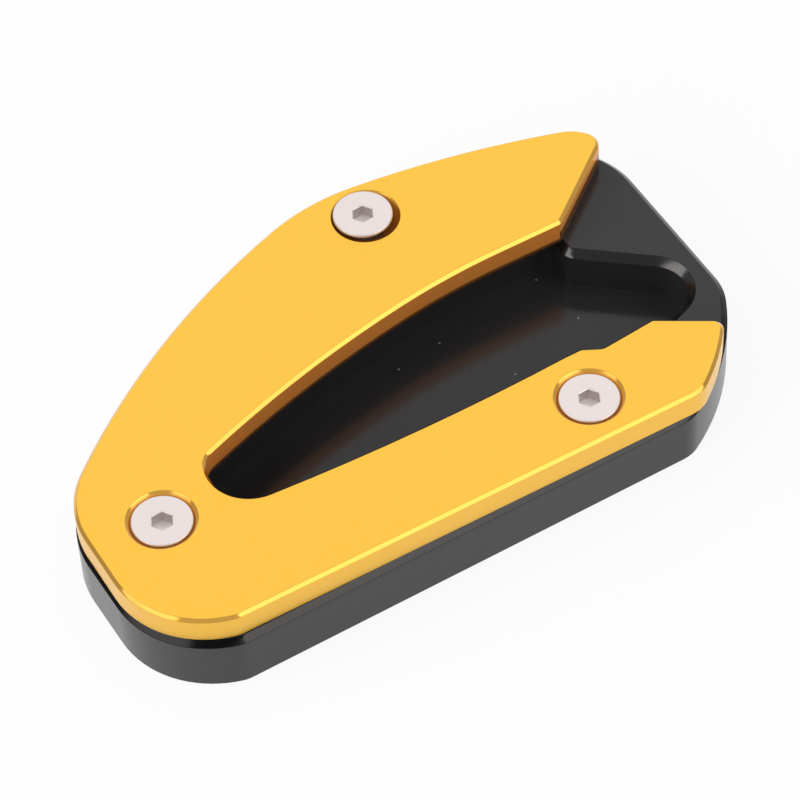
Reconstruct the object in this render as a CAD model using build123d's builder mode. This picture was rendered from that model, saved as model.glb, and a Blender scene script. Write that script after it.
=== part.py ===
from build123d import *
import os
from math import cos, radians, sin, sqrt, tan

# Kickstand foot enlarger: a black pad that a motorbike's side stand sets its foot in, and a gold plate
# that three countersunk screws clamp over that foot.
# Millimetres. The origin is the bottom centre. X runs along the straight front edge from the nose to
# the tail, Y from the front edge to the crown, and Z up.

# Overall sizes
overall_length = 110.0
overall_width = 66.2
base_height = 10.0
plate_thickness = 4.6

# Outline that both plates follow: round ends joined by long shallow arcs
crown_radius = 37.1
crown_offset = 10.55
tail_arc_radius = 166.4
flank_radius = 138.3
nose_radius = 16.1
nose_flat = 9.05
nose_height = 15.95
nose_turn = 45.4
facet_foot_round = 5.0
heel_radius = 40.0
heel_foot_round = 6.0
heel_top_round = 10.0

# Where each plate's outline differs, measured in from the overall size
base_nose_inset = 0.0
base_tail_inset = 0.0
base_tail_drop = 20.0
base_tail_radius = 15.0
base_facet_setback = 12.75
base_heel_setback = 18.7
base_heel_height = 19.6
plate_nose_inset = 0.67
plate_tail_inset = 0.45
plate_tail_drop = 15.25
plate_tail_radius = 7.9
plate_facet_setback = 13.85
plate_heel_setback = 15.65
plate_heel_height = 18.7

# Edges
base_chamfer = 1.0
base_edge_break = 0.15
plate_chamfer = 0.55
plate_inset = 0.5

# Leg slot of the top plate
slot_top = 41.05
slot_end_margin = 22.5
slot_end_radius = 6.8
slot_end_turn = 112.5
end_corner_radius = 3.25
end_corner_turn = 43.2
bend_setback = 27.6
bend_radius = 120.0
bend_turn = 8.75
sweep_turn = 11.2
lower_arm_width = 17.55
jog_setback = 27.15
jog_length = 3.0
jog_drop = 1.6
lower_arm_setback = 14.75
lower_arm_rise = 0.8
lower_cut_angle = 32.2
upper_arm_setback = 16.15
upper_cut_angle = 38.3
arm_round = 1.2
lower_tip_round = 1.7
upper_tip_round = 2.7
tip_edge_share = 0.5

# Foot pocket of the base plate
pocket_depth = 7.6
pocket_lip = 2.7
pocket_chamfer = 1.25
pocket_rim = 4.45
lobe_radius = 5.8
lobe_height = 24.7
lobe_edge_angle = 140.3
lobe_edge_length = 14.2
lobe_lower_angle = 19.3
pocket_corner_round = 3.0
pocket_lower_round = 8.0

# Countersunk screws with hexagon sockets
screw_diameter = 5.0
screw_length = 12.0
head_diameter = 9.5
head_angle = 90.0
head_rim = 0.55
head_edge_break = 0.15
screw_tip_chamfer = 0.6
socket_width = 3.0
socket_depth = 2.2
socket_chamfer = 0.2
socket_turn = 2.7
countersink_diameter = 11.1
clearance_diameter = 6.0
thread_gap = 0.05
seat_gap = 0.02

# Screw places, measured in from the nose's end, the crown and the tail's end and front edge
nose_screw_setback = 12.65
nose_screw_height = 22.2
crown_screw_offset = 2.85
crown_screw_drop = 7.65
heel_screw_setback = 31.05
heel_screw_height = 8.65
crown_screw_drift = 0.45
crown_screw_drift_angle = 161.0
crown_screw_proud = 0.5

# How the top plate sits on the pad, in the play of its screw holes
plate_turn = -0.71
plate_shift = -0.65
plate_lead = 0.13

# Values worked out from the sizes above
right = overall_length / 2
left = -right
back = overall_width / 2
front = -back


def heading(angle):
    """Unit vector at an angle from X."""
    return Vector(cos(radians(angle)), sin(radians(angle)))


def bridge(first, second, radius):
    """Touch points of an arc that encloses two circles and bulges to the right of first to second."""
    span = second["centre"] - first["centre"]
    axis = span.normalized()
    reach_first = radius - first["radius"]
    reach_second = radius - second["radius"]
    along = (reach_first**2 - reach_second**2 + span.length**2) / (2 * span.length)
    across = sqrt(reach_first**2 - along**2)
    arc_centre = first["centre"] + axis * along + axis.rotate(Axis.Z, 90) * across
    return [
        circle["centre"] + (circle["centre"] - arc_centre).normalized() * circle["radius"]
        for circle in (first, second)
    ]


def plate_edge(nose_inset, tail_inset, tail_drop, tail_radius, facet_setback, heel_setback, heel_height):
    """Edge of a plate, counter-clockwise from the facet's foot; gives back the corners that get a round."""
    nose_x = left + nose_inset
    tail_x = right - tail_inset
    toe_centre = Vector(nose_x + nose_radius, front + nose_height)
    nose = {"centre": toe_centre + Vector(0, nose_flat), "radius": nose_radius}
    tail = {"centre": Vector(tail_x - tail_radius, back - tail_drop), "radius": tail_radius}
    crown = {"centre": Vector(crown_offset, back - crown_radius), "radius": crown_radius}
    facet_top = toe_centre + heading(180 + nose_turn) * nose_radius
    facet_foot = Vector(left + facet_setback, front)
    heel_foot = Vector(right - heel_setback, front)
    heel_top = Vector(tail_x, front + heel_height)
    tail_side = Vector(tail_x, tail["centre"].Y)
    nose_side = Vector(nose_x, nose["centre"].Y)
    toe_side = Vector(nose_x, toe_centre.Y)
    tail_start, tail_end = bridge(tail, crown, tail_arc_radius)
    flank_start, flank_end = bridge(crown, nose, flank_radius)
    Line(facet_foot, heel_foot)
    RadiusArc(heel_foot, heel_top, -heel_radius)
    Line(heel_top, tail_side)
    RadiusArc(tail_side, tail_start, -tail_radius)
    RadiusArc(tail_start, tail_end, -tail_arc_radius)
    RadiusArc(tail_end, flank_start, -crown_radius)
    RadiusArc(flank_start, flank_end, -flank_radius)
    RadiusArc(flank_end, nose_side, -nose_radius)
    Line(nose_side, toe_side)
    RadiusArc(toe_side, facet_top, -nose_radius)
    TangentArc(facet_top, facet_foot, tangent=heading(270 + nose_turn))
    return [(facet_foot, facet_foot_round), (heel_foot, heel_foot_round), (heel_top, heel_top_round)]


def round_corners(sketch, corners):
    """Fillet the sketch's corner nearest to each point by the radius given with it."""
    for point, radius in corners:
        fillet(sketch.vertices().sort_by_distance(point)[0], radius)


def shorter_side(sketch, point):
    """Length of the shorter of the two edges at the sketch's corner nearest to a point."""
    corner = sketch.vertices().sort_by_distance(point)[0]
    return min(edge.length for edge in sketch.edges().sort_by_distance(corner)[:2])


# Leg slot: the upper edge is a bend and a longer sweep that run into the closed end, which has a tight
# upper corner and a wide lower arc
bend_heading = 180 + bend_turn
sweep_heading = bend_heading + sweep_turn
corner_heading = sweep_heading + end_corner_turn
bend_start = Vector(right - bend_setback, front + slot_top)
slot_end_x = left + slot_end_margin + slot_end_radius
corner_x = slot_end_x + (slot_end_radius - end_corner_radius) * sin(radians(corner_heading))
sweep_reach = (
    bend_start.X
    - corner_x
    + bend_radius * sin(radians(bend_heading))
    - end_corner_radius * sin(radians(sweep_heading))
)
sweep_radius = sweep_reach / (sin(radians(bend_heading)) - sin(radians(sweep_heading)))
jog_start = Vector(right - jog_setback - jog_length, front + lower_arm_width)


def slot_edge(grow):
    """Upper edge, closed end and lower edge of the leg slot, moved outwards by grow."""
    start = bend_start + Vector(0, grow)
    bend = JernArc(start, heading(180), bend_radius + grow, bend_turn)
    sweep = JernArc(bend @ 1, bend % 1, sweep_radius + grow, sweep_turn)
    corner = JernArc(sweep @ 1, sweep % 1, end_corner_radius + grow, end_corner_turn)
    closed_end = JernArc(corner @ 1, corner % 1, slot_end_radius + grow, slot_end_turn)
    lower = TangentArc(closed_end @ 1, jog_start - Vector(0, grow), tangent=closed_end % 1)
    return start, lower


# Ends of the two arms of the top plate
jog_corner = Vector(right - jog_setback, jog_start.Y)
jog_foot = jog_corner + Vector(jog_length, -jog_drop)
lower_arm_corner = Vector(right - lower_arm_setback, jog_foot.Y + lower_arm_rise)
upper_arm_corner = Vector(right - upper_arm_setback, bend_start.Y)
lower_run_out = lower_arm_corner + heading(-lower_cut_angle) * overall_width
upper_run_out = upper_arm_corner + heading(upper_cut_angle) * overall_width

# Foot pocket: the slot grown by the lip, and a lobe that reaches to the rim at the tail
lobe_centre = Vector(right - pocket_rim - lobe_radius, front + lobe_height)
lobe_edge_end = lobe_centre + heading(lobe_edge_angle - 90) * lobe_radius
lobe_edge_corner = lobe_edge_end + heading(lobe_edge_angle) * lobe_edge_length
lobe_lower_start = lobe_centre + heading(lobe_lower_angle - 90) * lobe_radius

# Screw seats: the crown screw sits off centre in its countersink, so it rides up the cone, and it isn't
# driven home
plate_plane = Plane((plate_shift, plate_lead, base_height), x_dir=heading(plate_turn))
cone_rise = 1 / tan(radians(head_angle / 2))
seat_depth = (countersink_diameter - head_diameter) / 2 * cone_rise - head_rim - seat_gap
hole_top = Vector(0, 0, plate_thickness)
nose_hole = Vector(left + nose_screw_setback, front + nose_screw_height) + hole_top
crown_hole = Vector(crown_offset + crown_screw_offset, back - crown_screw_drop) + hole_top
heel_hole = Vector(right - heel_screw_setback, front + heel_screw_height) + hole_top
crown_drift = heading(crown_screw_drift_angle) * crown_screw_drift
crown_lift = Vector(0, 0, crown_screw_drift * cone_rise + crown_screw_proud)
plate_holes = [plate_plane.from_local_coords(hole) for hole in (nose_hole, crown_hole, heel_hole)]
screw_tops = [
    plate_plane.from_local_coords(hole - Vector(0, 0, seat_depth))
    for hole in (nose_hole, crown_hole + crown_drift + crown_lift, heel_hole)
]

# Base plate
with BuildPart() as base_plate:
    with BuildSketch() as pad:
        with BuildLine():
            pad_corners = plate_edge(
                base_nose_inset,
                base_tail_inset,
                base_tail_drop,
                base_tail_radius,
                base_facet_setback,
                base_heel_setback,
                base_heel_height,
            )
        make_face()
        round_corners(pad, pad_corners)
    extrude(amount=base_height)
    with BuildSketch(Plane.XY.offset(base_height)) as pocket:
        with BuildLine():
            pocket_start, pocket_lower = slot_edge(pocket_lip)
            lower_axis = Axis(pocket_lower @ 1, pocket_lower % 1)
            lobe_axis = Axis(lobe_lower_start, heading(180 + lobe_lower_angle))
            lower_corner = lower_axis.intersect(lobe_axis)
            FilletPolyline(
                pocket_lower @ 1,
                lower_corner,
                lobe_lower_start,
                radius=pocket_lower_round,
            )
            RadiusArc(lobe_lower_start, lobe_edge_end, -lobe_radius)
            FilletPolyline(
                lobe_edge_end,
                lobe_edge_corner,
                Vector(lobe_edge_corner.X, pocket_start.Y),
                pocket_start,
                radius=pocket_corner_round,
            )
        make_face()
    extrude(amount=-pocket_depth, mode=Mode.SUBTRACT)
    chamfer(base_plate.faces().sort_by(Axis.Z)[-1].inner_wires().edges(), pocket_chamfer)
    chamfer(base_plate.faces().sort_by(Axis.Z)[-1].outer_wire().edges(), base_chamfer)
    chamfer(base_plate.faces().sort_by(Axis.Z)[0].edges(), base_edge_break)
    with Locations([Vector(top.X, top.Y, base_height) for top in screw_tops]):
        Hole(radius=screw_diameter / 2 + thread_gap)
base_plate.part.label = "base_plate"

# Top plate
with BuildPart() as top_plate:
    with BuildSketch(plate_plane) as crescent:
        with BuildLine():
            crescent_corners = plate_edge(
                plate_nose_inset,
                plate_tail_inset,
                plate_tail_drop,
                plate_tail_radius,
                plate_facet_setback,
                plate_heel_setback,
                plate_heel_height,
            )
        make_face()
        round_corners(crescent, crescent_corners)
        offset(amount=-plate_inset)
        with BuildSketch(mode=Mode.SUBTRACT):
            with BuildLine():
                slot_start, slot_lower = slot_edge(0)
                FilletPolyline(
                    slot_lower @ 1,
                    jog_corner,
                    jog_foot,
                    lower_arm_corner,
                    lower_run_out,
                    upper_run_out,
                    upper_arm_corner,
                    slot_start,
                    radius=arm_round,
                )
            make_face()
        for run_out, tip_round in ((lower_run_out, lower_tip_round), (upper_run_out, upper_tip_round)):
            tip_room = shorter_side(crescent, run_out) * tip_edge_share
            round_corners(crescent, [(run_out, min(tip_round, tip_room))])
    extrude(amount=plate_thickness)
    chamfer(top_plate.faces().sort_by(Axis.Z)[-1].edges(), plate_chamfer)
    with Locations(plate_holes):
        CounterSinkHole(
            radius=clearance_diameter / 2,
            counter_sink_radius=countersink_diameter / 2,
            counter_sink_angle=head_angle,
        )
top_plate.part.label = "top_plate"

# One screw, with the top of its head at the origin
cone_depth = (head_diameter - screw_diameter) / 2 * cone_rise
with BuildPart() as screw:
    with BuildSketch(Plane.XZ):
        with BuildLine():
            Polyline(
                (0, 0),
                (head_diameter / 2, 0),
                (head_diameter / 2, -head_rim),
                (screw_diameter / 2, -head_rim - cone_depth),
                (screw_diameter / 2, -screw_length),
                (0, -screw_length),
                close=True,
            )
        make_face()
    revolve(axis=Axis.Z)
    chamfer(screw.edges().group_by(Axis.Z)[-1], head_edge_break)
    chamfer(screw.edges().group_by(Axis.Z)[0], screw_tip_chamfer)
    with BuildSketch():
        RegularPolygon(radius=socket_width / 2, side_count=6, major_radius=False, rotation=socket_turn)
    extrude(amount=-socket_depth, mode=Mode.SUBTRACT)
    chamfer(screw.faces().sort_by(Axis.Z)[-1].inner_wires().edges(), socket_chamfer)

# The three screws
with BuildPart() as plate_screws:
    with Locations(screw_tops):
        add(screw.part)
plate_screws.part.label = "plate_screws"

os.makedirs("parts", exist_ok=True)
export_step(base_plate.part, "parts/base_plate.step")
export_step(top_plate.part, "parts/top_plate.step")
export_step(plate_screws.part, "parts/plate_screws.step")
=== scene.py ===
import math
from typing import NamedTuple

import bmesh
import bpy
from bpy.props import FloatProperty, FloatVectorProperty, PointerProperty
from bpy.types import Operator, Panel, PropertyGroup
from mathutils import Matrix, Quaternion, Vector
from mathutils.bvhtree import BVHTree


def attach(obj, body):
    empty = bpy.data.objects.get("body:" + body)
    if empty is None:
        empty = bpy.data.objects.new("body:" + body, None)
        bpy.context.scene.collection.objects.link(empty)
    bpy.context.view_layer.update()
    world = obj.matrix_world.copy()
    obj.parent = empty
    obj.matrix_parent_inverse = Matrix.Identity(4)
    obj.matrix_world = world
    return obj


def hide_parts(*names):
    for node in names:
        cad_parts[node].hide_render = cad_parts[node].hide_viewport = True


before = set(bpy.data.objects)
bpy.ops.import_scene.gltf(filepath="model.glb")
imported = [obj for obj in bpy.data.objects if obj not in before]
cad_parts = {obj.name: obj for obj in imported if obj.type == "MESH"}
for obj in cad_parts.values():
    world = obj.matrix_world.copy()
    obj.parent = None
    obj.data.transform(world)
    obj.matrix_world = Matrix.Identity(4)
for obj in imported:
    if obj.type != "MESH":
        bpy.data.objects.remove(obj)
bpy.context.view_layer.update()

bl_info = {
    "name": "Kickstand foot enlarger",
    "version": (1, 0, 0),
    "blender": (4, 5, 0),
    "location": "View3D > Sidebar > Foot enlarger",
    "description": "Finishes the pad, its clamp plate and its screws, and sets the studio stage",
    "category": "Object",
}

MM = 0.001

# Merging of the CAD meshes, and the fine round along their outer edges.
WELD_GAP = 0.001 * MM
FLAT_ANGLE = math.radians(0.2)
SHARP_ANGLE = math.radians(24.0)
ROUND_SEGMENTS = 2

# How far up a face looks, as its normal's z: a wall stands, a chamfer or countersink leans.
WALL_TILT = 0.5
CUT_TILT = 0.9

# Lines of sight that tell faces apart: how far off the face they start, how far and where they go.
SKIN = 0.01 * MM
SOCKET_LIFT = 0.3 * MM
WALL_CLEARANCE = 3.0 * MM
SLOT_DROP = 50.0 * MM
ARM_DROP = 5.0 * MM
SINK_GAP = 1.2 * MM
SOCKET_REACH = 4.0 * MM
POCKET_REACH = 110.0 * MM
DOWN = Vector((0.0, 0.0, -1.0))
SIDEWAYS = Vector((1.0, 0.0, 0.0))
LEVEL = Vector((1.0, 1.0, 0.0))

# Surface grain: the detail of the noises, the middle part of the clouds, and the pits.
CLOUD_DETAIL = 3.0
CLOUD_SPAN = (0.3, 0.7)
GRAIN_DETAIL = 2.0
GRAIN_DEPTH = 0.004 * MM
GRAIN_STRENGTH = 0.5

WHITE = (1.0, 1.0, 1.0, 1.0)


def colour_property(name, description, default):
    return FloatVectorProperty(
        name=name,
        description=description,
        subtype="COLOR",
        size=4,
        min=0.0,
        max=1.0,
        default=default,
    )


def length_property(name, description, default):
    return FloatProperty(
        name=name, description=description, subtype="DISTANCE", unit="LENGTH", default=default
    )


def angle_property(name, description, default):
    return FloatProperty(
        name=name, description=description, subtype="ANGLE", unit="ROTATION", default=default
    )


class FinishSettings(PropertyGroup):
    """Colours and surface grain of the three metals."""

    black_colour: colour_property(
        "Black", "Dye colour of the black anodised pad", (0.023, 0.0222, 0.0235, 1.0)
    )
    dust_colour: colour_property(
        "Dust", "Colour of the few specks in the pocket", (0.20, 0.195, 0.19, 1.0)
    )
    gold_colour: colour_property(
        "Gold", "Dye colour of the gold anodised clamp plate", (0.95, 0.55, 0.046, 1.0)
    )
    # Painted shade: a darker, redder copy of the gold on the chamfers, which dims their highlights
    # and warms their shaded parts.
    chamfer_painted_shade_colour: colour_property(
        "Chamfer", "Dye colour on the clamp plate's chamfers", (0.81, 0.42, 0.035, 1.0)
    )
    # Painted shade and reflection: the walls over the pad get a redder, darker copy of the gold for
    # the dimmer gold-on-gold light between the arms, and darken further towards their foot.
    slot_painted_shade_colour: colour_property(
        "Slot wall", "Dye colour on the walls of the slot", (0.93, 0.44, 0.09, 1.0)
    )
    slot_foot_painted_shade: colour_property(
        "Slot foot", "Shade along the foot of the slot's walls", (0.20, 0.08, 0.02, 1.0)
    )
    # Painted shade: deep in the countersinks, where the screw heads hide the light, the gold turns
    # dark brown.
    sink_painted_shade: colour_property(
        "Countersink", "Shade deep in the countersinks", (0.70, 0.32, 0.05, 1.0)
    )
    steel_colour: colour_property(
        "Steel", "Colour of the stainless screws", (0.80, 0.73, 0.72, 1.0)
    )
    # Painted light: the socket floors get a near-white copy of the steel, lit though they lie deep
    # in the sockets.
    socket_floor_painted_light: colour_property(
        "Socket floor", "Colour of the bright floor of the sockets", (0.97, 0.95, 0.93, 1.0)
    )
    blast_grain: length_property(
        "Blast grain", "Size of the fine pits that blasting leaves before the anodising", 0.16 * MM
    )
    edge_round: length_property(
        "Edge round", "Width of the fine round that tumbling leaves along outer edges", 0.09 * MM
    )


class StageSettings(PropertyGroup):
    """Camera and floor of the studio stage."""

    target: FloatVectorProperty(
        name="Target",
        description="Point on the clamp plate that the camera looks at",
        subtype="TRANSLATION",
        unit="LENGTH",
        size=3,
        default=(-1.563 * MM, -9.735 * MM, 14.6 * MM),
    )
    azimuth: angle_property(
        "Azimuth", "Turn of the camera round the pad, from straight in front", math.radians(-28.008)
    )
    elevation: angle_property(
        "Elevation", "Height of the camera above the horizon", math.radians(50.8)
    )
    roll: angle_property(
        "Roll", "Turn of the camera about its own line of sight", math.radians(-3.6)
    )
    distance: length_property("Distance", "Distance from the camera to its target", 607.3 * MM)
    lens: FloatProperty(
        name="Lens",
        description="Focal length, in millimetres, on a 36 mm sensor",
        subtype="DISTANCE_CAMERA",
        unit="CAMERA",
        default=180.0,
    )
    floor_size: length_property("Floor size", "Side of the square floor sheet", 12.0)


class Wire:
    """A shader socket that takes part in arithmetic; each step adds a Math node."""

    def __init__(self, maker, socket):
        self.maker = maker
        self.socket = socket

    def step(self, operation, *values):
        return self.maker.node("ShaderNodeMath", {"operation": operation}, dict(enumerate(values)))

    def twin(self, output):
        """Another output of the same node."""
        return Wire(self.maker, self.socket.node.outputs[output])

    def __add__(self, other):
        return self.step("ADD", self, other)

    __radd__ = __add__

    def __mul__(self, other):
        return self.step("MULTIPLY", self, other)

    __rmul__ = __mul__

    def __sub__(self, other):
        return self.step("SUBTRACT", self, other)

    def __rsub__(self, other):
        return self.step("SUBTRACT", other, self)

    def __gt__(self, other):
        return self.step("GREATER_THAN", self, other)

    def __lt__(self, other):
        return self.step("LESS_THAN", self, other)


class Maker:
    """Adds nodes to one node tree."""

    def __init__(self, tree):
        self.tree = tree
        tree.nodes.clear()

    def node(self, kind, settings=None, inputs=None, output=0):
        """Add a node: its settings first, then the values or links of its sockets."""
        made = self.tree.nodes.new(kind)
        for name, value in (settings or {}).items():
            setattr(made, name, value)
        for name, value in (inputs or {}).items():
            if isinstance(value, Wire):
                self.tree.links.new(value.socket, made.inputs[name])
            else:
                made.inputs[name].default_value = value
        return Wire(self, made.outputs[output]) if made.outputs else None

    def place(self):
        return self.node("ShaderNodeTexCoord", output="Object")

    def normal(self):
        """The surface's normal, axis by axis."""
        return self.axes(self.node("ShaderNodeTexCoord", output="Normal"))

    def axes(self, vector):
        split = self.node("ShaderNodeSeparateXYZ", inputs={"Vector": vector})
        return [split.twin(axis) for axis in "XYZ"]

    def mark(self, name):
        """A face attribute that mark_faces wrote."""
        return self.node("ShaderNodeAttribute", {"attribute_name": name}, output="Fac")

    def noise(self, vector, scale, detail):
        return self.node(
            "ShaderNodeTexNoise", inputs={"Vector": vector, "Scale": scale, "Detail": detail}
        )

    def between(self, value, low, high, start=0.0, end=1.0):
        """Value read from low to high as a smooth step from start to end."""
        return self.node(
            "ShaderNodeMapRange",
            {"interpolation_type": "SMOOTHSTEP"},
            {"Value": value, "From Min": low, "From Max": high, "To Min": start, "To Max": end},
        )

    def blend(self, mask, first, second):
        """First colour where the mask is 0, second where it is 1."""
        return self.node(
            "ShaderNodeMix",
            {"data_type": "RGBA"},
            {0: mask, 6: first, 7: second},
            output=2,
        )

    def clouded(self, cloud, colour, shades):
        """A colour that drifts between two shades of itself."""
        return self.blend(cloud, *(tinted(colour, shade) for shade in shades))

    def pits(self, place, size):
        """Normal of a surface with fine pits."""
        grain = self.noise(place, 1.0 / size, GRAIN_DETAIL)
        return self.node(
            "ShaderNodeBump",
            inputs={"Height": grain, "Distance": GRAIN_DEPTH, "Strength": GRAIN_STRENGTH},
        )

    def metal(self, inputs):
        """A Principled shader with these sockets, on the material's surface."""
        shader = self.node("ShaderNodeBsdfPrincipled", inputs=inputs)
        self.node("ShaderNodeOutputMaterial", inputs={"Surface": shader})


def new_finish(name):
    finish = bpy.data.materials.new(name)
    finish.use_nodes = True
    return finish, Maker(finish.node_tree)


def tinted(colour, factor):
    return (colour[0] * factor, colour[1] * factor, colour[2] * factor, 1.0)


def copied_piece(node, name):
    """A piece that stands for a CAD node, its mesh merged and its flat areas joined."""
    bpy.ops.object.select_all(action="DESELECT")
    piece = bpy.data.objects.new(name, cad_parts[node].data.copy())
    bpy.context.scene.collection.objects.link(piece)
    piece.select_set(True)
    bpy.context.view_layer.objects.active = piece
    bpy.ops.mesh.customdata_custom_splitnormals_clear()
    bpy.ops.object.mode_set(mode="EDIT")
    bpy.ops.mesh.select_all(action="SELECT")
    bpy.ops.mesh.remove_doubles(threshold=WELD_GAP)
    bpy.ops.mesh.dissolve_limited(angle_limit=FLAT_ANGLE)
    bpy.ops.object.mode_set(mode="OBJECT")
    piece.data.materials.clear()
    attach(piece, "root")
    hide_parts(node)
    return piece


def round_edges(piece, width):
    """Break the sharp edges that stand out by a fine round, and leave the inner corners crisp."""
    mesh = bmesh.new()
    mesh.from_mesh(piece.data)
    weight = mesh.edges.layers.float.new("bevel_weight_edge")
    for edge in mesh.edges:
        if edge.calc_face_angle() > SHARP_ANGLE:
            if edge.is_convex:
                edge[weight] = 1.0
            else:
                edge.smooth = False
    mesh.to_mesh(piece.data)
    mesh.free()
    bevel = piece.modifiers.new("edge_round", "BEVEL")
    bevel.width = width
    bevel.segments = ROUND_SEGMENTS
    bevel.limit_method = "WEIGHT"
    bpy.ops.object.modifier_apply(modifier=bevel.name)
    bpy.ops.object.shade_smooth(keep_sharp_edges=True)
    shading = piece.modifiers.new("flat_shading", "WEIGHTED_NORMAL")
    shading.mode = "FACE_AREA_WITH_ANGLE"
    shading.keep_sharp = True
    bpy.ops.object.modifier_apply(modifier=shading.name)


def mark_faces(piece, name, test):
    """Write a face attribute that is 1 where the test holds for a face's centre and normal."""
    mark = piece.data.attributes.new(name, "FLOAT", "FACE")
    for face in piece.data.polygons:
        mark.data[face.index].value = float(test(face.center, face.normal))


def surface(node):
    """Search tree of a CAD node's mesh, for lines of sight."""
    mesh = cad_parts[node].data
    points = [vertex.co for vertex in mesh.vertices]
    return BVHTree.FromPolygons(points, [tuple(face.vertices) for face in mesh.polygons])


def meets(tree, start, direction, reach):
    """Whether a straight line from a point meets the surface within reach."""
    return tree.ray_cast(start, direction, reach)[0] is not None


def is_wall(normal):
    return abs(normal.z) < WALL_TILT


def is_cut(normal):
    return WALL_TILT < normal.z < CUT_TILT


# Black finish. A pair gives where a change starts and where it is full, in height or along an
# axis of the normal, or the two ends of a cloud. A shade multiplies the colour, and a haze adds
# to the roughness.
PAD_CLOUDS = 60.0
PAD_SHADES = (0.92, 1.08)
PAD_ROUGHNESS = (0.09, 0.12)
PAD_IOR = 1.46
PAD_WALL_ABOVE = (0.3, 0.1)
PAD_WALL_BELOW = (-0.3, -0.1)
PAD_WALL_HAZE = 0.12
PAD_CUT_ABOVE = (0.9, 0.8)
PAD_CUT_BELOW = (0.3, 0.5)
# Painted shade: the pad's chamfers are darkened to a quarter of the black.
PAD_CUT_PAINTED_SHADE = 0.25
PAD_CUT_HAZE = 0.07
# Painted shade: away from the front, the outer chamfer turns metallic with its dark colour, so it
# shows dark whatever lights it.
OUTER_CUT_TURN = (-0.695, -0.66)
OUTER_CUT_METAL = 0.85
# Painted shade: the pocket's walls are a darker copy of the black.
POCKET_WALL_PAINTED_SHADE = 0.7
POCKET_FLOOR_HEIGHT = (3.4 * MM, 2.6 * MM)
POCKET_FLOOR_TILT = 0.9
# Painted shade: the pocket's floor is a darker copy of the black.
POCKET_FLOOR_PAINTED_SHADE = 0.85
POCKET_FLOOR_HAZE = 0.05
DUST_CELLS = 140.0
DUST_CHANCE = 0.7
DUST_SPECK = (0.034, 0.012)


class OBJECT_OT_make_pad(Operator):
    """Make the pad from the base plate, in black anodised aluminium"""

    bl_idname = "object.make_pad"
    bl_label = "Make pad"

    def execute(self, context):
        settings = context.scene.pad_finish
        piece = copied_piece("base_plate", "pad")
        round_edges(piece, settings.edge_round)
        self.mark_inner_and_outer_faces(piece)
        finish, make = new_finish("black_anodised")
        place = make.place()
        cloud = make.noise(place, PAD_CLOUDS, CLOUD_DETAIL)
        height = make.axes(place)[2]
        _, frontward, facing = make.normal()
        floor = make.between(height, *POCKET_FLOOR_HEIGHT) * (facing > POCKET_FLOOR_TILT)
        wall = make.between(facing, *PAD_WALL_ABOVE) * make.between(facing, *PAD_WALL_BELOW)
        cut = make.between(facing, *PAD_CUT_ABOVE) * make.between(facing, *PAD_CUT_BELOW)
        # Painted shade: the outer chamfer away from the front goes dark.
        painted_dark_chamfer = make.mark("outer_cut") * make.between(frontward, *OUTER_CUT_TURN)
        pocket_wall = make.mark("pocket_wall")
        specks = self.dust(make, place) * floor
        black = settings.black_colour
        colour = make.clouded(cloud, black, PAD_SHADES)
        # Painted shade on the pad's chamfers.
        colour = make.blend(cut, colour, tinted(black, PAD_CUT_PAINTED_SHADE))
        # Painted shade in the pocket: darker walls and floor.
        colour = make.blend(pocket_wall, colour, tinted(black, POCKET_WALL_PAINTED_SHADE))
        colour = make.blend(floor, colour, tinted(black, POCKET_FLOOR_PAINTED_SHADE))
        colour = make.blend(specks, colour, settings.dust_colour)
        haze = floor * POCKET_FLOOR_HAZE + wall * PAD_WALL_HAZE + cut * PAD_CUT_HAZE
        make.metal(
            {
                "Base Color": colour,
                "Metallic": painted_dark_chamfer * OUTER_CUT_METAL,
                "Roughness": make.between(cloud, *CLOUD_SPAN, *PAD_ROUGHNESS) + haze,
                "IOR": PAD_IOR,
                "Normal": make.pits(place, settings.blast_grain),
            }
        )
        piece.data.materials.append(finish)
        return {"FINISHED"}

    def mark_inner_and_outer_faces(self, piece):
        """Tell the pocket's walls and the outer chamfer from the other faces."""
        pad = surface("base_plate")
        mark_faces(
            piece,
            "pocket_wall",
            lambda centre, normal: is_wall(normal)
            and meets(pad, centre + normal * SKIN, normal, POCKET_REACH),
        )
        mark_faces(
            piece,
            "outer_cut",
            lambda centre, normal: is_cut(normal)
            and not meets(pad, centre + normal * SKIN, normal * LEVEL, POCKET_REACH),
        )

    def dust(self, make, place):
        """Few fine specks, each a small dot in a coarse cell."""
        cells = make.node(
            "ShaderNodeTexVoronoi",
            {"voronoi_dimensions": "2D"},
            {"Vector": place, "Scale": DUST_CELLS},
        )
        chance = make.axes(cells.twin("Color"))[0]
        return (chance > DUST_CHANCE) * make.between(cells, *DUST_SPECK)


# Gold finish, with pairs, shades and hazes as for the black one.
PLATE_CLOUDS = 40.0
PLATE_SHADES = (0.985, 1.0)
PLATE_ROUGHNESS = (0.29, 0.33)
PLATE_WALL = (0.55, 0.2)
PLATE_WALL_HAZE = 0.33
PLATE_CUT = (0.95, 0.8)
PLATE_CUT_GLOSS = 0.20
PLATE_COAT = 0.5
PLATE_CUT_COAT = 0.4
PLATE_COAT_ROUGHNESS = 0.08
PLATE_COAT_IOR = 1.6
SLOT_WALL_HAZE = 0.36
SLOT_FOOT_HEIGHT = (11.1 * MM, 10.4 * MM)
ARM_FOOT_RISE = 1.6 * MM
SINK_HEIGHT = (14.55 * MM, 13.95 * MM)
SINK_HAZE = 0.4
SINK_COAT_LOSS = 0.8


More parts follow.
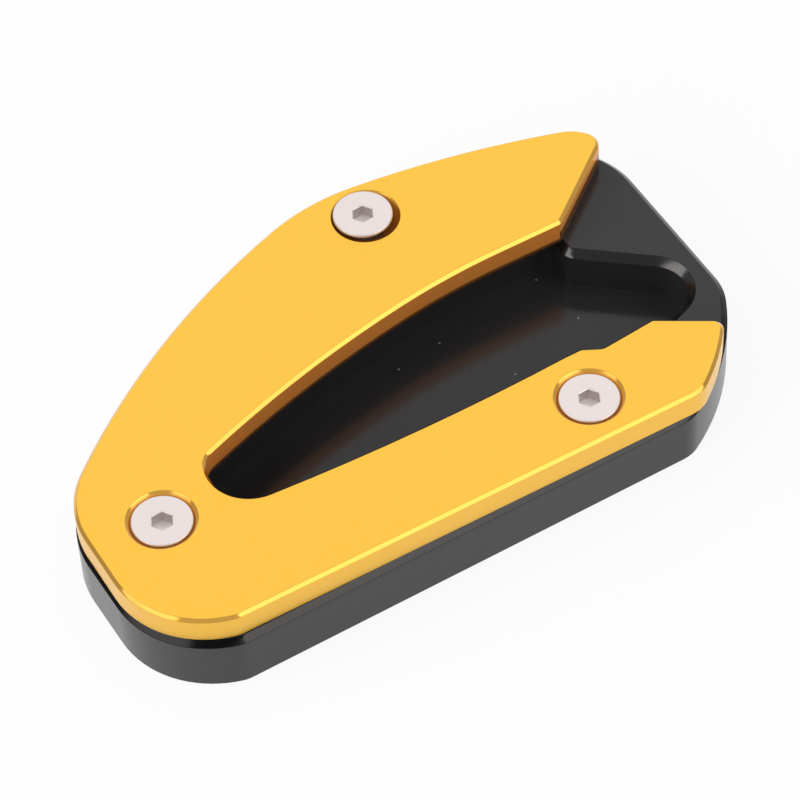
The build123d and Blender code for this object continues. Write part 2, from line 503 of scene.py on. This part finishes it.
class OBJECT_OT_make_clamp_plate(Operator):
    """Make the clamp plate from the top plate, in gold anodised aluminium"""

    bl_idname = "object.make_clamp_plate"
    bl_label = "Make clamp plate"

    def execute(self, context):
        settings = context.scene.pad_finish
        piece = copied_piece("top_plate", "clamp_plate")
        round_edges(piece, settings.edge_round)
        self.mark_inner_faces(piece)
        finish, make = new_finish("gold_anodised")
        place = make.place()
        cloud = make.noise(place, PLATE_CLOUDS, CLOUD_DETAIL)
        height = make.axes(place)[2]
        facing = make.normal()[2]
        wall = make.between(facing, *PLATE_WALL)
        cut = make.between(facing, *PLATE_CUT)
        chamfer = cut - wall
        slot_wall = make.mark("slot_wall")
        foot = make.between(height - make.mark("arm_end") * ARM_FOOT_RISE, *SLOT_FOOT_HEIGHT)
        # Painted shade deep in the countersinks, with less coat to reflect the room.
        deep = make.mark("screw_sink") * make.between(height, *SINK_HEIGHT)
        # Painted shade on the walls over the pad: the slot colour darkens to the foot colour
        # towards the bottom, starting higher on the arm ends.
        painted_slot_shade = make.blend(foot, settings.slot_painted_shade_colour, settings.slot_foot_painted_shade)
        colour = make.clouded(cloud, settings.gold_colour, PLATE_SHADES)
        # Painted shade on the chamfers.
        colour = make.blend(chamfer, colour, settings.chamfer_painted_shade_colour)
        colour = make.blend(slot_wall, colour, painted_slot_shade)
        colour = make.blend(deep, colour, settings.sink_painted_shade)
        rough = make.between(cloud, *CLOUD_SPAN, *PLATE_ROUGHNESS) - cut * PLATE_CUT_GLOSS
        haze = wall * PLATE_WALL_HAZE + slot_wall * SLOT_WALL_HAZE + deep * SINK_HAZE
        make.metal(
            {
                "Base Color": colour,
                "Metallic": 1.0,
                "Roughness": rough + haze,
                "Coat Weight": PLATE_COAT + chamfer * PLATE_CUT_COAT - deep * SINK_COAT_LOSS,
                "Coat Roughness": PLATE_COAT_ROUGHNESS,
                "Coat IOR": PLATE_COAT_IOR,
                "Normal": make.pits(place, settings.blast_grain),
            }
        )
        piece.data.materials.append(finish)
        return {"FINISHED"}

    def mark_inner_faces(self, piece):
        """Tell the walls that face over the pad, and the countersinks, from the outer faces."""
        pad = surface("base_plate")
        screws = surface("plate_screws")
        for name, drop in (("slot_wall", SLOT_DROP), ("arm_end", ARM_DROP)):
            mark_faces(
                piece,
                name,
                lambda centre, normal: is_wall(normal)
                and meets(pad, centre + normal * WALL_CLEARANCE, DOWN, drop),
            )
        mark_faces(
            piece,
            "screw_sink",
            lambda centre, normal: is_cut(normal)
            and screws.find_nearest(centre, SINK_GAP)[0] is not None,
        )


# Steel finish, with pairs, shades and hazes as for the black one.
STEEL_CLOUDS = 300.0
STEEL_SHADES = (0.96, 1.02)
STEEL_ROUGHNESS = (0.30, 0.38)
STEEL_RIM = (0.5, 0.1)
STEEL_RIM_HAZE = 0.25
# Painted shade: the sockets' walls are a darker copy of the steel.
SOCKET_WALL_PAINTED_SHADE = 0.88
SOCKET_FLOOR_HAZE = 0.3


class OBJECT_OT_make_screws(Operator):
    """Make the three countersunk screws, in satin stainless steel"""

    bl_idname = "object.make_screws"
    bl_label = "Make screws"

    def execute(self, context):
        settings = context.scene.pad_finish
        piece = copied_piece("plate_screws", "countersunk_screws")
        round_edges(piece, settings.edge_round)
        self.mark_sockets(piece)
        finish, make = new_finish("stainless")
        cloud = make.noise(make.place(), STEEL_CLOUDS, CLOUD_DETAIL)
        rim = make.between(make.normal()[2], *STEEL_RIM)
        socket_wall = make.mark("socket_wall")
        socket_floor = make.mark("socket_floor")
        steel = settings.steel_colour
        colour = make.clouded(cloud, steel, STEEL_SHADES)
        # Painted shade on the socket walls and painted light on the socket floors.
        colour = make.blend(socket_wall, colour, tinted(steel, SOCKET_WALL_PAINTED_SHADE))
        colour = make.blend(socket_floor, colour, settings.socket_floor_painted_light)
        haze = rim * STEEL_RIM_HAZE + socket_floor * SOCKET_FLOOR_HAZE
        make.metal(
            {
                "Base Color": colour,
                "Metallic": 1.0,
                "Roughness": make.between(cloud, *CLOUD_SPAN, *STEEL_ROUGHNESS) + haze,
            }
        )
        piece.data.materials.append(finish)
        return {"FINISHED"}

    def mark_sockets(self, piece):
        """Tell the sockets' walls and floors from the outside of the heads."""
        screws = surface("plate_screws")
        mark_faces(
            piece,
            "socket_wall",
            lambda centre, normal: is_wall(normal)
            and meets(screws, centre + normal * SKIN, normal, SOCKET_REACH),
        )
        mark_faces(
            piece,
            "socket_floor",
            lambda centre, normal: normal.z > WALL_TILT
            and meets(screws, centre + normal * SOCKET_LIFT, SIDEWAYS, SOCKET_REACH),
        )


class Softbox(NamedTuple):
    """A lamp: bearing and height in degrees, size in metres, brightness, and what it lights."""

    name: str
    bearing: float
    height: float
    width: float
    depth: float
    glow: float
    lit: tuple


PLATE_AND_SCREWS = ("clamp_plate", "countersunk_screws")
SOFTBOXES = (
    Softbox("left_softbox", -179.0, 29.0, 0.80, 0.36, 1.1, PLATE_AND_SCREWS),
    Softbox("front_softbox", -56.0, 33.0, 0.88, 0.42, 1.38, PLATE_AND_SCREWS),
    Softbox("back_softbox", 62.0, 50.8, 1.60, 1.60, 0.21, PLATE_AND_SCREWS),
    Softbox("fill_softbox", -118.0, 38.0, 2.60, 1.20, 0.22, PLATE_AND_SCREWS),
    Softbox("left_pad_softbox", -179.0, 29.0, 1.00, 0.36, 5.6, ("pad", "floor")),
    Softbox("front_pad_softbox", -57.0, 33.0, 0.90, 0.42, 2.2, ("pad",)),
)
LAMP_DISTANCE = 0.9
LAMP_TINT = (1.0, 0.96, 0.92)

FLOOR_SHADE = (0.9, 0.9, 0.9, 1.0)
FLOOR_SHOWN_TO_CAMERA = 0.9
FLOOR_SHOWN_TO_GLOSS = 0.85

# The room is brighter towards the back, as the dot product with its direction grows.
ROOM_BACK = (0.30, 0.556, 0.775)
ROOM_SPAN = (0.1, 0.85)
ROOM_GLOW = (0.47, 0.85)

SENSOR_WIDTH = 36.0
CAMERA_NEAR = 0.01
CAMERA_FAR = 50.0


def direction(bearing, height):
    """Unit vector at a bearing from the x axis and a height above the horizon."""
    level = math.cos(height)
    return Vector((math.cos(bearing) * level, math.sin(bearing) * level, math.sin(height)))


class OBJECT_OT_set_stage(Operator):
    """Set the floor, the lamps, the surrounding light and the camera"""

    bl_idname = "object.set_stage"
    bl_label = "Set stage"

    def execute(self, context):
        settings = context.scene.pad_stage
        context.scene.view_settings.view_transform = "Standard"
        self.lay_floor(context, settings)
        for softbox in SOFTBOXES:
            self.hang_lamp(context, softbox)
        self.light_room(context)
        self.set_camera(context, settings)
        return {"FINISHED"}

    def lay_floor(self, context, settings):
        """A pale sheet that shows white to the camera and in reflections, and keeps the shadow."""
        bpy.ops.object.select_all(action="DESELECT")
        bpy.ops.mesh.primitive_plane_add(size=settings.floor_size)
        floor = context.object
        floor.name = "floor"
        finish, make = new_finish("pale_floor")
        seen = make.node("ShaderNodeLightPath", output="Is Camera Ray")
        mirrored = seen.twin("Is Glossy Ray")
        sheet = make.node("ShaderNodeBsdfDiffuse", inputs={"Color": FLOOR_SHADE})
        white = make.node("ShaderNodeEmission", inputs={"Color": WHITE, "Strength": 1.0})
        shown = seen * FLOOR_SHOWN_TO_CAMERA + mirrored * FLOOR_SHOWN_TO_GLOSS
        mixed = make.node("ShaderNodeMixShader", inputs={0: shown, 1: sheet, 2: white})
        make.node("ShaderNodeOutputMaterial", inputs={"Surface": mixed})
        floor.data.materials.append(finish)

    def hang_lamp(self, context, softbox):
        """An area lamp that faces the origin and lights only the pieces it is linked to."""
        away = direction(math.radians(softbox.bearing), math.radians(softbox.height))
        bpy.ops.object.light_add(type="AREA", location=away * LAMP_DISTANCE)
        lamp = context.object
        lamp.name = softbox.name
        lamp.rotation_mode = "QUATERNION"
        lamp.rotation_quaternion = away.to_track_quat("Z", "Y")
        lamp.data.shape = "RECTANGLE"
        lamp.data.size = softbox.width
        lamp.data.size_y = softbox.depth
        lamp.data.energy = softbox.glow * math.pi * softbox.width * softbox.depth
        lamp.data.color = LAMP_TINT
        lit = bpy.data.collections.new(softbox.name + "_lit")
        for piece in softbox.lit:
            lit.objects.link(bpy.data.objects[piece])
        lamp.light_linking.receiver_collection = lit

    def light_room(self, context):
        """White to the camera, and a soft glow on the object."""
        world = bpy.data.worlds.new("studio_room")
        world.use_nodes = True
        context.scene.world = world
        make = Maker(world.node_tree)
        sight = make.node("ShaderNodeTexCoord", output="Generated")
        toward_back = make.node(
            "ShaderNodeVectorMath",
            {"operation": "DOT_PRODUCT"},
            {0: sight, 1: ROOM_BACK},
            output="Value",
        )
        glow = make.between(toward_back, *ROOM_SPAN, *ROOM_GLOW)
        seen = make.node("ShaderNodeLightPath", output="Is Camera Ray")
        strength = seen + (1 - seen) * glow
        room = make.node("ShaderNodeBackground", inputs={"Color": WHITE, "Strength": strength})
        make.node("ShaderNodeOutputWorld", inputs={"Surface": room})

    def set_camera(self, context, settings):
        """The photograph's view; at an azimuth of 0 the camera would face the pad's front."""
        away = direction(settings.azimuth - math.pi / 2, settings.elevation)
        bpy.ops.object.camera_add(location=Vector(settings.target) + away * settings.distance)
        camera = context.object
        camera.name = "camera"
        camera.rotation_mode = "QUATERNION"
        roll = Quaternion((0.0, 0.0, 1.0), settings.roll)
        camera.rotation_quaternion = away.to_track_quat("Z", "Y") @ roll
        camera.data.sensor_width = SENSOR_WIDTH
        camera.data.lens = settings.lens
        camera.data.clip_start = CAMERA_NEAR
        camera.data.clip_end = CAMERA_FAR
        context.scene.camera = camera


class VIEW3D_PT_foot_enlarger(Panel):
    """Lists the finishes, the stage and the operators in the sidebar"""

    bl_label = "Foot enlarger"
    bl_idname = "VIEW3D_PT_foot_enlarger"
    bl_space_type = "VIEW_3D"
    bl_region_type = "UI"
    bl_category = "Foot enlarger"

    def draw(self, context):
        layout = self.layout
        for settings in (context.scene.pad_finish, context.scene.pad_stage):
            for name in settings.__annotations__:
                layout.prop(settings, name)
        for operator in OPERATORS:
            layout.operator(operator.bl_idname)


OPERATORS = (
    OBJECT_OT_make_pad,
    OBJECT_OT_make_clamp_plate,
    OBJECT_OT_make_screws,
    OBJECT_OT_set_stage,
)
CLASSES = (FinishSettings, StageSettings, *OPERATORS, VIEW3D_PT_foot_enlarger)


def register():
    for cls in CLASSES:
        bpy.utils.register_class(cls)
    bpy.types.Scene.pad_finish = PointerProperty(type=FinishSettings)
    bpy.types.Scene.pad_stage = PointerProperty(type=StageSettings)


def unregister():
    del bpy.types.Scene.pad_stage
    del bpy.types.Scene.pad_finish
    for cls in reversed(CLASSES):
        bpy.utils.unregister_class(cls)


def main():
    register()
    bpy.ops.object.select_all(action="DESELECT")
    bpy.ops.object.make_pad()
    bpy.ops.object.make_clamp_plate()
    bpy.ops.object.make_screws()
    bpy.ops.object.set_stage()


if __name__ == "__main__":
    main()
